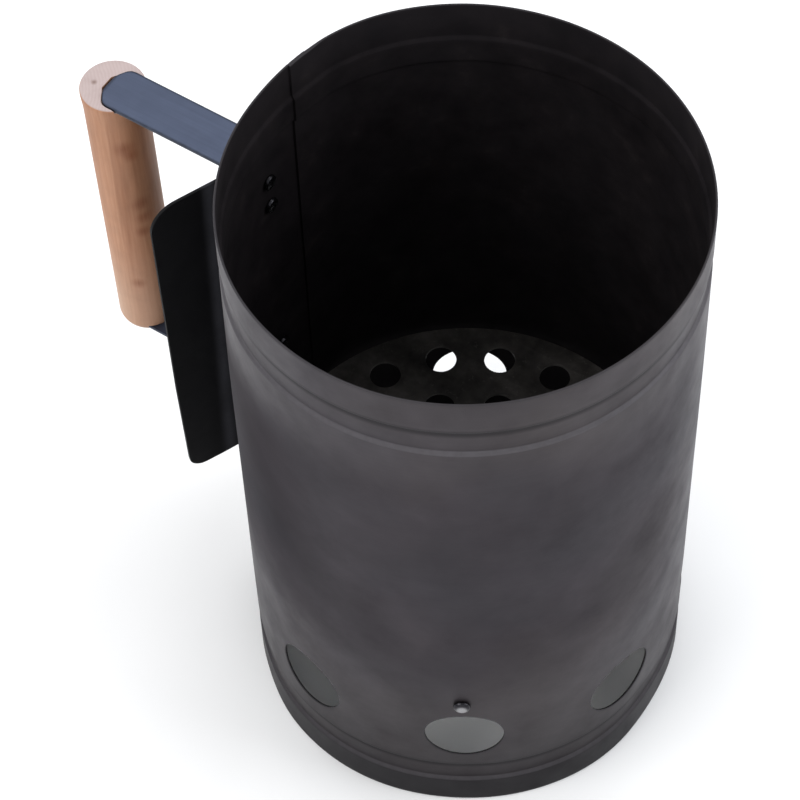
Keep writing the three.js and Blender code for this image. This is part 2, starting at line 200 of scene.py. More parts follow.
def strap(name, path, half, thick, place, edge=0.22 * mm, sharp=40, mats=()):
    """A flat bar swept along a path. path: [(u, v)], half: half width at each point, place(u, w, v) -> position.
    The section is a rounded rectangle, thick measured across the path and half sideways."""
    n = len(path)
    P = [Vector((a, b)) for a, b in path]
    verts = []
    sec = []
    for q in range(4):
        for s in range(4):
            sec.append((q, rad(90 * q + 30 * s)))
        if q in (0, 2):         # points across the wide face, so that the edge mask (painted shade on the arms) stays near the edges
            sec += [(q + 4, 1.0), (q + 4, 0.35), (q + 4, -0.35), (q + 4, -1.0)]

    def ring(i, inset):
        t = (P[min(i + 1, n - 1)] - P[max(i - 1, 0)]).normalized()
        nrm = Vector((-t.y, t.x))
        out = []
        h = max(half[i] - inset, 0.05 * mm)
        e = min(edge, h * 0.5)
        tt = thick / 2 - inset
        for q, ang in sec:
            if q < 4:
                cx = (h - e) * (1 if q in (0, 3) else -1)
                cy = (tt - e) * (1 if q in (0, 1) else -1)
                w, d = cx + e * math.cos(ang), cy + e * math.sin(ang)
            else:
                w = max(h - 1.1 * mm, 0.5 * h) * ang * (1 if q == 4 else -1)
                d = tt if q == 4 else -tt
            p = P[i] + nrm * d
            out.append((p.x, w, p.y))
        return out
    rings = []
    t0 = (P[1] - P[0]).normalized()
    t1 = (P[-1] - P[-2]).normalized()

    def shifted(r, t, d):
        return [(u + t.x * d, w, v + t.y * d) for u, w, v in r]
    rings.append(ring(0, edge * 0.7))
    rings.append(shifted(ring(0, 0.0), t0, edge * 0.6))
    for i in range(1, n - 1):
        rings.append(ring(i, 0.0))
    rings.append(shifted(ring(n - 1, 0.0), t1, -edge * 0.6))
    rings.append(ring(n - 1, edge * 0.7))
    m = len(sec)
    near = []
    for k, r in enumerate(rings):
        verts += r
        end = k < 2 or k > len(rings) - 3
        near += [1.0 if end or q < 4 else 0.0 for q, _ in sec]
    faces = grid_faces(len(rings), m)
    faces.append(tuple(range(m - 1, -1, -1)))
    faces.append(tuple((len(rings) - 1) * m + k for k in range(m)))
    ob = make_object(name, [place(*v) for v in verts], faces, sharp, {"edge": near}, mats)
    fix_normals(ob)
    return ob


def arc2(cx, cy, r, a0, a1, n):
    return [(cx + r * math.cos(rad(a0 + (a1 - a0) * i / n)), cy + r * math.sin(rad(a0 + (a1 - a0) * i / n))) for i in range(n + 1)]


def join(name, objects):
    """Joins meshes into a new object, keeping each one's material slots."""
    bm = bmesh.new()
    mats = []
    for o in objects:
        base = []
        for m in o.data.materials:
            if m not in mats:
                mats.append(m)
            base.append(mats.index(m))
        before = len(bm.faces)
        bm.from_mesh(o.data)
        bm.faces.ensure_lookup_table()
        if base:
            for f in bm.faces[before:]:
                f.material_index = base[min(f.material_index, len(base) - 1)]
    me = bpy.data.meshes.new(name)
    bm.to_mesh(me)
    bm.free()
    for m in mats:
        me.materials.append(m)
    for o in objects:
        d = o.data
        bpy.data.objects.remove(o)
        bpy.data.meshes.remove(d)
    ob = bpy.data.objects.new(name, me)
    bpy.context.scene.collection.objects.link(ob)
    return ob


# ------------------------------------------------------------------ material helpers
class Mat:
    def __init__(self, name):
        self.m = bpy.data.materials.new(name)
        self.m.use_nodes = True
        self.t = self.m.node_tree
        self.t.nodes.clear()
        self.out = self.t.nodes.new("ShaderNodeOutputMaterial")
        self.b = self.t.nodes.new("ShaderNodeBsdfPrincipled")
        self.t.links.new(self.b.outputs[0], self.out.inputs[0])
        self.co = self.t.nodes.new("ShaderNodeTexCoord").outputs["Object"]

    def link(self, a, b):
        self.t.links.new(a, b)

    def scaled(self, scale, move=(0, 0, 0)):
        n = self.t.nodes.new("ShaderNodeMapping")
        n.inputs["Scale"].default_value = scale
        n.inputs["Location"].default_value = move
        self.link(self.co, n.inputs[0])
        return n.outputs[0]

    def noise(self, scale, detail=4, rough=0.55, vec=None, distort=0.0):
        n = self.t.nodes.new("ShaderNodeTexNoise")
        n.inputs["Scale"].default_value = scale
        n.inputs["Detail"].default_value = detail
        n.inputs["Roughness"].default_value = rough
        n.inputs["Distortion"].default_value = distort
        self.link(vec if vec is not None else self.co, n.inputs["Vector"])
        return n.outputs["Fac"]

    def voronoi(self, scale, vec=None, feature="F1"):
        n = self.t.nodes.new("ShaderNodeTexVoronoi")
        n.feature = feature
        n.inputs["Scale"].default_value = scale
        self.link(vec if vec is not None else self.co, n.inputs["Vector"])
        return n.outputs["Distance"]

    def ramp(self, fac, stops, interp="LINEAR"):
        n = self.t.nodes.new("ShaderNodeValToRGB")
        e = n.color_ramp
        e.interpolation = interp
        while len(e.elements) > 1:
            e.elements.remove(e.elements[-1])
        for i, (pos, col) in enumerate(stops):
            if not isinstance(col, (tuple, list)):
                col = (col, col, col)
            el = e.elements[0] if i == 0 else e.elements.new(pos)
            el.position = pos
            el.color = (*col, 1)
        self.link(fac, n.inputs[0])
        return n.outputs[0]

    def mix(self, fac, a, b, mode="MIX"):
        n = self.t.nodes.new("ShaderNodeMix")
        n.data_type = "RGBA"
        n.blend_type = mode
        n.clamp_factor = True
        for val, idx in ((fac, 0), (a, 6), (b, 7)):
            if isinstance(val, (int, float)):
                n.inputs[idx].default_value = val
            elif isinstance(val, tuple):
                n.inputs[idx].default_value = (*val, 1)
            else:
                self.link(val, n.inputs[idx])
        return n.outputs[2]

    def math(self, op, a, b=0.0, c=None):
        n = self.t.nodes.new("ShaderNodeMath")
        n.operation = op
        for i, v in enumerate((a, b) if c is None else (a, b, c)):
            if isinstance(v, (int, float)):
                n.inputs[i].default_value = v
            else:
                self.link(v, n.inputs[i])
        return n.outputs[0]

    def span(self, v, a, b, c=0.0, d=1.0, kind="LINEAR"):
        n = self.t.nodes.new("ShaderNodeMapRange")
        n.interpolation_type = kind
        for i, x in enumerate((a, b, c, d)):
            n.inputs[i + 1].default_value = x
        self.link(v, n.inputs[0])
        return n.outputs[0]

    def xyz(self):
        n = self.t.nodes.new("ShaderNodeSeparateXYZ")
        self.link(self.co, n.inputs[0])
        return n.outputs

    def attr(self, name):
        n = self.t.nodes.new("ShaderNodeAttribute")
        n.attribute_name = name
        return n.outputs["Fac"]

    def near(self, point, radius):
        """1 at the point, 0 at the radius."""
        n = self.t.nodes.new("ShaderNodeVectorMath")
        n.operation = "DISTANCE"
        n.inputs[1].default_value = point
        self.link(self.co, n.inputs[0])
        return self.span(n.outputs["Value"], 0.0, radius, 1.0, 0.0, "SMOOTHSTEP")

    def bump(self, height, strength, dist, prev=None):
        n = self.t.nodes.new("ShaderNodeBump")
        n.inputs["Strength"].default_value = strength
        n.inputs["Distance"].default_value = dist
        self.link(height, n.inputs["Height"])
        if prev is not None:
            self.link(prev, n.inputs["Normal"])
        return n.outputs[0]

    def cyl(self, ax=AX, r=BODY_R):
        """Coordinates unrolled from the chimney's wall: along the circumference and height; the third is left at 0."""
        x, y, z = self.xyz()
        dx = self.math("SUBTRACT", x, ax)
        ang = self.math("ARCTAN2", y, self.math("MULTIPLY", dx, -1.0))
        s = self.math("MULTIPLY", ang, r)
        n = self.t.nodes.new("ShaderNodeCombineXYZ")
        self.link(s, n.inputs[0])
        self.link(z, n.inputs[1])
        return n.outputs[0], z

    def map_vec(self, vec, scale, move=(0, 0, 0), rot=(0, 0, 0)):
        n = self.t.nodes.new("ShaderNodeMapping")
        n.inputs["Scale"].default_value = scale
        n.inputs["Location"].default_value = move
        n.inputs["Rotation"].default_value = rot
        self.link(vec, n.inputs[0])
        return n.outputs[0]

    def set(self, **kw):
        names = {"base": "Base Color", "rough": "Roughness", "metal": "Metallic", "normal": "Normal",
                 "spec": "Specular IOR Level", "coat": "Coat Weight", "coat_rough": "Coat Roughness",
                 "sub": "Subsurface Weight", "tint": "Specular Tint", "sheen": "Sheen Weight", "aniso": "Anisotropic"}
        for k, v in kw.items():
            s = self.b.inputs[names[k]]
            if isinstance(v, tuple):
                s.default_value = (*v, 1)
            elif isinstance(v, (int, float)):
                s.default_value = v
            else:
                self.link(v, s)
        return self.m


# ------------------------------------------------------------------ materials
def body_material():
    m = Mat("body_steel")
    wall, z = m.cyl()
    x, y, _ = m.xyz()
    big = m.noise(9, 3, 0.5)
    mid = m.noise(34, 4, 0.6, distort=0.6)
    fine = m.noise(420, 3, 0.6)
    cloudy = m.ramp(big, [(0.30, (0.0370, 0.0346, 0.0400)), (0.48, (0.0402, 0.0352, 0.0402)), (0.66, (0.0438, 0.0374, 0.0396)), (0.80, (0.0402, 0.0378, 0.0440))])
    patch = m.ramp(mid, [(0.35, 0.84), (0.60, 1.0), (0.75, 1.14)])
    col = m.mix(1.0, cloudy, patch, "MULTIPLY")
    # broad soft bands left by handling, running down the wall
    band = m.noise(1.0, 2, 0.5, vec=m.map_vec(wall, (26, 7, 1), rot=(0, 0, 0.35)))
    col = m.mix(0.6, col, m.ramp(band, [(0.32, 0.86), (0.68, 1.14)]), "MULTIPLY")
    # faint rolling lines round the wall
    roll = m.noise(1.0, 3, 0.6, vec=m.map_vec(wall, (6, 900, 1)))
    col = m.mix(0.25, col, m.ramp(roll, [(0.3, 0.80), (0.7, 1.16)]), "MULTIPLY")
    # rub marks and hairline scratches
    scr = m.noise(1.0, 2, 0.5, vec=m.map_vec(wall, (1500, 42, 1), rot=(0, 0, 0.35)))
    scr2 = m.noise(1.0, 2, 0.5, vec=m.map_vec(wall, (60, 1700, 1), rot=(0, 0, 0.2)))
    where = m.span(m.noise(21, 2, 0.5), 0.56, 0.67)
    line = m.math("MAXIMUM", m.span(scr, 0.75, 0.81), m.span(scr2, 0.76, 0.82))
    line = m.math("MULTIPLY", line, where)
    col = m.mix(m.math("MULTIPLY", line, 0.35), col, (0.09, 0.088, 0.095))
    # heat stain above the vents; then painted shade: the wall darkens towards the bottom and most below the lower
    # groove, standing in for the shadowed floor it reflects
    low = m.span(z, 0.125, 0.02, 0.0, 1.0, "SMOOTHSTEP")
    stain = m.math("MULTIPLY", low, m.span(m.noise(26, 4, 0.6), 0.42, 0.72))
    col = m.mix(m.math("MULTIPLY", stain, 0.18), col, (0.022, 0.018, 0.018))
    foot = m.math("ADD", m.span(z, 0.0170, 0.0135, 0.0, 0.50, "SMOOTHSTEP"), m.span(z, 0.080, 0.028, 0.0, 0.42, "SMOOTHSTEP"))
    col = m.mix(foot, col, (0.0050, 0.0045, 0.0055))
    # a sooty smear down the side next to the shield, in roughness, specular and tint only
    ang = m.math("ARCTAN2", y, m.math("SUBTRACT", x, AX))
    smear = m.math("MULTIPLY", m.math("MULTIPLY", m.span(ang, rad(-88), rad(-112), 0.0, 1.0, "SMOOTHSTEP"), m.span(ang, rad(-172), rad(-150), 0.0, 1.0, "SMOOTHSTEP")),
                   m.math("MULTIPLY", m.span(z, 0.232, 0.200, 0.0, 1.0, "SMOOTHSTEP"), m.span(z, 0.085, 0.135, 0.0, 1.0, "SMOOTHSTEP")))
    smear = m.math("MULTIPLY", smear, m.span(m.noise(24, 3, 0.5), 0.25, 0.65, 0.65, 1.0))
    # painted reflection: two faint dark streaks meeting in a V down the front, standing in for a dark edge on the floor
    # reflected in the wall
    left = m.math("MULTIPLY_ADD", ang, -0.1117, 0.075 - 0.1117 * rad(66))
    right = m.math("MULTIPLY_ADD", ang, 0.0647, 0.075 + 0.0647 * rad(66))
    off = m.math("SUBTRACT", z, m.math("MAXIMUM", left, right))
    off = m.math("ADD", off, m.math("MULTIPLY", m.math("SUBTRACT", m.noise(14, 3, 0.5), 0.5), 0.05))
    v_reflection_shade = m.span(m.math("ABSOLUTE", off), 0.006, 0.030, 0.22, 0.0, "SMOOTHSTEP")
    col = m.mix(v_reflection_shade, col, (0.016, 0.013, 0.015))
    # painted shade under each groove's upper ridge, and a painted highlight along the lower ridge
    skin = m.attr("skin")
    shade, ridge_highlight = None, None
    for z0, z1, z2, z3 in GROOVES:
        up = m.math("MULTIPLY", m.span(z, (z2 - 3.4) * mm, (z2 - 0.6) * mm, 0.0, 1.0, "SMOOTHSTEP"),
                    m.span(z, (z3 + 1.4) * mm, (z3 - 0.8) * mm, 0.0, 1.0, "SMOOTHSTEP"))
        dn = m.math("MULTIPLY", m.span(z, (z0 - 0.5) * mm, (z0 + 0.5) * mm, 0.0, 1.0 if z0 > 100 else 0.55, "SMOOTHSTEP"),
                    m.span(z, (z1 + 0.5) * mm, (z1 - 0.4) * mm, 0.0, 1.0, "SMOOTHSTEP"))
        shade = up if shade is None else m.math("MAXIMUM", shade, up)
        ridge_highlight = dn if ridge_highlight is None else m.math("MAXIMUM", ridge_highlight, dn)
    shade = m.math("MULTIPLY", shade, skin)
    ridge_highlight = m.math("MULTIPLY", m.math("MULTIPLY", ridge_highlight, skin), m.span(fine, 0.25, 0.65, 0.75, 1.0))
    col = m.mix(m.math("MULTIPLY", shade, 0.66), col, (0.0045, 0.0042, 0.0050))
    col = m.mix(m.math("MULTIPLY", ridge_highlight, 0.62), col, (0.125, 0.119, 0.128))
    # the cut edges of the sheet
    wear = m.attr("wear")
    worn = m.math("MULTIPLY", wear, m.span(fine, 0.25, 0.65, 0.45, 1.0))
    col = m.mix(m.math("MULTIPLY", worn, 0.70), col, (0.050, 0.048, 0.052))
    # soot on the inside, thinning out towards the rim
    soot = m.attr("inside")
    thin = m.span(z, 0.268, 0.25, 0.80, 1.0, "SMOOTHSTEP")
    blot = m.span(m.noise(40, 5, 0.65), 0.30, 0.70, 0.86, 1.0)
    cover = m.math("MULTIPLY", m.math("MULTIPLY", soot, thin), blot)
    sootcol = m.ramp(m.noise(70, 4, 0.6), [(0.35, (0.0062, 0.0052, 0.0060)), (0.62, (0.0115, 0.0094, 0.0104)), (0.82, (0.024, 0.020, 0.020))])
    col = m.mix(cover, col, sootcol)
    rough = m.ramp(m.noise(55, 4, 0.6), [(0.30, 0.40), (0.52, 0.47), (0.75, 0.56)])
    rough = m.mix(m.math("MULTIPLY", m.math("MAXIMUM", worn, shade), 0.7), rough, (0.62, 0.62, 0.62))
    rough = m.mix(cover, rough, (0.90, 0.90, 0.90))
    rough = m.mix(smear, rough, (0.66, 0.66, 0.66))
    metal = m.math("SUBTRACT", 0.62, m.math("MULTIPLY", cover, 0.60))
    dull = m.math("MAXIMUM", m.math("MULTIPLY", smear, 0.7), m.span(z, 0.036, 0.014, 0.0, 0.95, "SMOOTHSTEP"))
    spec = m.math("SUBTRACT", 0.28, m.math("MULTIPLY", m.math("MAXIMUM", cover, dull), 0.20))
    # the oxide film takes most of the glare off the wall; less so at the top band, at the foot and on the clean side
    glare = m.math("MAXIMUM", m.math("MAXIMUM", m.span(z, 0.205, 0.245, 0.0, 1.0, "SMOOTHSTEP"), m.span(z, 0.120, 0.060, 0.0, 1.0, "SMOOTHSTEP")),
                   m.math("MULTIPLY", m.span(ang, rad(-5), rad(22), 0.0, 1.0, "SMOOTHSTEP"), m.span(ang, rad(165), rad(130), 0.0, 1.0, "SMOOTHSTEP")))
    tint = m.mix(m.math("MULTIPLY", glare, m.math("SUBTRACT", 1.0, smear)), (0.52, 0.51, 0.53), (0.93, 0.92, 0.94))
    tint = m.mix(m.math("MULTIPLY", smear, 0.35), tint, (0.34, 0.34, 0.35))
    h = m.noise(240, 3, 0.6)
    n1 = m.bump(m.noise(13, 2, 0.5), 0.30, 0.0009)
    n2 = m.bump(h, 0.16, 0.00016, n1)
    n3 = m.bump(m.math("MULTIPLY", line, -1.0), 0.25, 0.00008, n2)
    return m.set(base=col, rough=rough, metal=metal, normal=n3, spec=spec, tint=tint)


def steel_material(name, tone, rough=(0.30, 0.42), metal=0.92, grain=(500, 40, 500), tint=0.12, dirt=0.3, edge=0.0, spot=(0.58, 0.74), apex_highlight=None):
    m = Mat(name)
    lo = tuple(c * (1 - tint) for c in tone)
    hi = tuple(min(1, c * (1 + tint)) for c in tone)
    a = m.noise(45, 4, 0.6)
    col = m.ramp(a, [(0.30, lo), (0.55, tone), (0.78, hi)])
    g = m.noise(1.0, 3, 0.6, vec=m.scaled(grain))
    col = m.mix(0.5, col, m.ramp(g, [(0.3, 0.84), (0.7, 1.12)]), "MULTIPLY")
    sm = m.span(m.noise(120, 4, 0.6), *spot)
    col = m.mix(m.math("MULTIPLY", sm, dirt), col, (0.030, 0.026, 0.024))
    # painted shade: where the edge mask is set, the bar's side faces and edges are darkened, standing in for the shade
    # on them
    if edge:
        e = m.math("MULTIPLY", m.span(m.attr("edge"), 0.15, 1.0, 0.0, edge, "SMOOTHSTEP"), m.span(m.noise(300, 3, 0.6), 0.25, 0.6, 0.6, 1.0))
        col = m.mix(e, col, tuple(c * 0.22 for c in tone))
    # painted highlight: a lighter cap on the top of the rivet domes
    if apex_highlight:
        col = m.mix(m.attr("apex_highlight"), col, apex_highlight)
    r = m.ramp(m.noise(160, 3, 0.6), [(0.3, rough[0]), (0.7, rough[1])])
    r = m.mix(m.math("MULTIPLY", sm, 0.5), r, (0.6, 0.6, 0.6))
    n1 = m.bump(g, 0.10, 0.00010)
    n2 = m.bump(m.noise(600, 2, 0.5), 0.12, 0.00008, n1)
    return m.set(base=col, rough=r, metal=metal, normal=n2)


def shield_material():
    m = Mat("shield_paint")
    x, y, z = m.xyz()
    a = m.noise(30, 4, 0.6)
    col = m.ramp(a, [(0.3, (0.0026, 0.0026, 0.0032)), (0.6, (0.0038, 0.0038, 0.0046)), (0.8, (0.0056, 0.0053, 0.0062))])
    peel = m.noise(900, 2, 0.5)
    dust = m.span(m.noise(260, 5, 0.7), 0.62, 0.80)
    col = m.mix(m.math("MULTIPLY", dust, 0.14), col, (0.020, 0.019, 0.020))
    # painted highlight: the paint is paler just outside the bend, a band that widens downwards, where the bend catches
    # the light
    off = m.math("SUBTRACT", m.math("ABSOLUTE", y), m.span(z, 0.222, 0.061, 0.0120, 0.0172))
    bend_highlight = m.math("MULTIPLY", m.span(m.math("ABSOLUTE", off), 0.0, 0.0042, 1.0, 0.0, "SMOOTHSTEP"), m.span(m.noise(60, 3, 0.6), 0.3, 0.6, 0.6, 1.0))
    col = m.mix(m.math("MULTIPLY", bend_highlight, 0.85), col, (0.0480, 0.0480, 0.0560))
    r = m.ramp(m.noise(90, 4, 0.6), [(0.3, 0.46), (0.7, 0.60)])
    n1 = m.bump(peel, 0.16, 0.00010)
    n2 = m.bump(m.noise(18, 2, 0.5), 0.14, 0.0007, n1)
    return m.set(base=col, rough=r, metal=0.0, normal=n2, spec=0.13)


def wood_material():
    m = Mat("grip_wood")
    gx = AX - GRIP_X
    x, y, z = m.xyz()
    # long grain: the pattern is stretched along the grip
    vec = m.scaled((1.0, 1.0, 0.07), (-gx, 0, 0))
    ring = m.t.nodes.new("ShaderNodeTexWave")
    ring.wave_type, ring.rings_direction = "RINGS", "Z"
    ring.inputs["Scale"].default_value = 190
    ring.inputs["Distortion"].default_value = 5.5
    ring.inputs["Detail"].default_value = 3
    ring.inputs["Detail Scale"].default_value = 1.4
    off = m.scaled((1.0, 1.0, 0.07), (-gx + 0.010, 0.006, 0.01))
    m.link(off, ring.inputs["Vector"])
    rings = ring.outputs["Fac"]
    broad = m.noise(70, 3, 0.5, vec=vec, distort=0.5)
    fibre = m.noise(1.0, 3, 0.6, vec=m.scaled((1500, 1500, 60)))
    fleck = m.noise(1.0, 2, 0.5, vec=m.scaled((900, 900, 130)))
    side = m.ramp(broad, [(0.28, (0.36, 0.165, 0.084)), (0.45, (0.46, 0.235, 0.134)), (0.62, (0.53, 0.292, 0.176)), (0.80, (0.58, 0.345, 0.222))])
    side = m.mix(m.span(rings, 0.1, 0.9, 0.0, 0.22), side, (0.31, 0.145, 0.076))
    side = m.mix(m.span(fibre, 0.45, 0.72, 0.0, 0.22), side, (0.27, 0.130, 0.070))
    side = m.mix(m.span(fleck, 0.66, 0.76, 0.0, 0.28), side, (0.20, 0.085, 0.045))
    # darker heart streaks on the side towards the shield, and two small knots
    streak = m.math("MULTIPLY", m.span(m.noise(1.0, 3, 0.6, vec=m.scaled((180, 180, 14))), 0.48, 0.64),
                    m.span(m.math("ADD", x, m.math("MULTIPLY", y, -0.35)), gx - 0.004, gx + 0.010))
    side = m.mix(m.math("MULTIPLY", streak, 0.45), side, (0.20, 0.085, 0.042))
    # painted shade: the side towards the shield is darker and redder, the shade on that side of the grip; the grip also
    # pales towards its lower end
    shield_side_shade = m.span(m.math("ADD", x, m.math("MULTIPLY", y, -0.45)), gx - 0.002, gx + 0.012, 0.0, 0.42, "SMOOTHSTEP")
    side = m.mix(m.span(z, 0.160, 0.108, 0.0, 0.55, "SMOOTHSTEP"), side, (0.58, 0.405, 0.295))
    side = m.mix(shield_side_shade, side, (0.255, 0.088, 0.033))
    for p, r in (((gx + 0.0080, -0.0083, 0.2105), 0.0060), ((gx + 0.0092, -0.0069, 0.206), 0.0045), ((gx + 0.0098, -0.0060, 0.178), 0.0055),
                 ((gx + 0.0101, -0.0055, 0.170), 0.0050), ((gx + 0.0094, -0.0066, 0.162), 0.0045), ((gx + 0.0060, -0.0098, 0.131), 0.004)):
        k = m.math("MULTIPLY", m.near(p, r), m.span(fibre, 0.2, 0.7, 0.5, 1.0))
        side = m.mix(m.math("MULTIPLY", k, 0.80), side, (0.200, 0.058, 0.020))
    # pale end grain with pores and growth rings
    er = m.t.nodes.new("ShaderNodeTexWave")
    er.wave_type, er.rings_direction = "RINGS", "Z"
    er.inputs["Scale"].default_value = 260
    er.inputs["Distortion"].default_value = 2.2
    er.inputs["Detail"].default_value = 2
    m.link(m.scaled((1, 1, 0), (-gx + 0.030, 0.022, 0)), er.inputs["Vector"])
    pores = m.voronoi(1500)
    end = m.mix(m.span(er.outputs["Fac"], 0.2, 0.9, 0.0, 0.30), (0.44, 0.355, 0.345), (0.36, 0.275, 0.250))
    end = m.mix(m.span(pores, 0.16, 0.05, 0.0, 0.35), end, (0.30, 0.20, 0.16))
    end = m.mix(m.span(m.noise(160, 3, 0.6), 0.35, 0.7, 0.0, 0.30), end, (0.48, 0.400, 0.390))
    end = m.mix(m.math("MULTIPLY", m.near((AX - 152.8 * mm, -2.2 * mm, GRIP_TOP), 0.0016), 0.8), end, (0.16, 0.10, 0.08))
    geo = m.t.nodes.new("ShaderNodeNewGeometry")
    sep = m.t.nodes.new("ShaderNodeSeparateXYZ")
    m.link(geo.outputs["True Normal"], sep.inputs[0])
    top = m.math("MULTIPLY", m.span(z, GRIP_TOP - 0.0022, GRIP_TOP - 0.0010), m.span(sep.outputs[2], 0.45, 0.85))
    bot = m.math("MULTIPLY", m.span(z, GRIP_BOTTOM + 0.004, GRIP_BOTTOM + 0.001), m.span(m.math("MULTIPLY", sep.outputs[2], -1.0), 0.55, 0.90))
    ends = m.math("MAXIMUM", top, bot)
    col = m.mix(ends, side, end)
    # hand soiling in patches over the grip
    soil = m.math("MULTIPLY", m.span(m.noise(90, 4, 0.6), 0.45, 0.75), 0.16)
    col = m.mix(soil, col, (0.13, 0.075, 0.05))
    r = m.mix(ends, m.ramp(fibre, [(0.3, 0.50), (0.7, 0.64)]), (0.78, 0.78, 0.78))
    n1 = m.bump(fibre, 0.22, 0.00012)
    n2 = m.bump(rings, 0.10, 0.00010, n1)
    n3 = m.bump(m.span(pores, 0.05, 0.16), 0.12, 0.00008, n2)
    return m.set(base=col, rough=r, metal=0.0, normal=n3, spec=0.35)


def grate_material():
    m = Mat("grate_steel")
    a = m.noise(60, 5, 0.65)
    col = m.ramp(a, [(0.30, (0.020, 0.018, 0.017)), (0.50, (0.060, 0.054, 0.050)), (0.70, (0.12, 0.110, 0.102)), (0.85, (0.20, 0.185, 0.17))])
    ash = m.span(m.noise(300, 4, 0.7), 0.60, 0.75)
    col = m.mix(m.math("MULTIPLY", ash, 0.35), col, (0.30, 0.28, 0.26))
    r = m.ramp(m.noise(80, 4, 0.6), [(0.3, 0.62), (0.7, 0.80)])
    n = m.bump(m.noise(420, 4, 0.7), 0.3, 0.00018)
    return m.set(base=col, rough=r, metal=0.35, normal=n)


BODY_M = body_material()
ARM_M = steel_material("arm_steel", (0.056, 0.069, 0.108), rough=(0.36, 0.46), metal=0.8, grain=(30, 900, 900), tint=0.07, dirt=0.20, edge=0.75, spot=(0.66, 0.82))
RIVET_M = steel_material("rivet_steel", (0.028, 0.027, 0.031), rough=(0.20, 0.28), metal=0.9, grain=(700, 700, 700), tint=0.15, dirt=0.25, apex_highlight=(0.30, 0.296, 0.305))
DARK_RIVET_M = steel_material("dark_rivet", (0.035, 0.035, 0.040), rough=(0.30, 0.40), metal=0.9, grain=(700, 700, 700), tint=0.15, dirt=0.3)
SHIELD_M = shield_material()
WOOD_M = wood_material()
GRATE_M = grate_material()

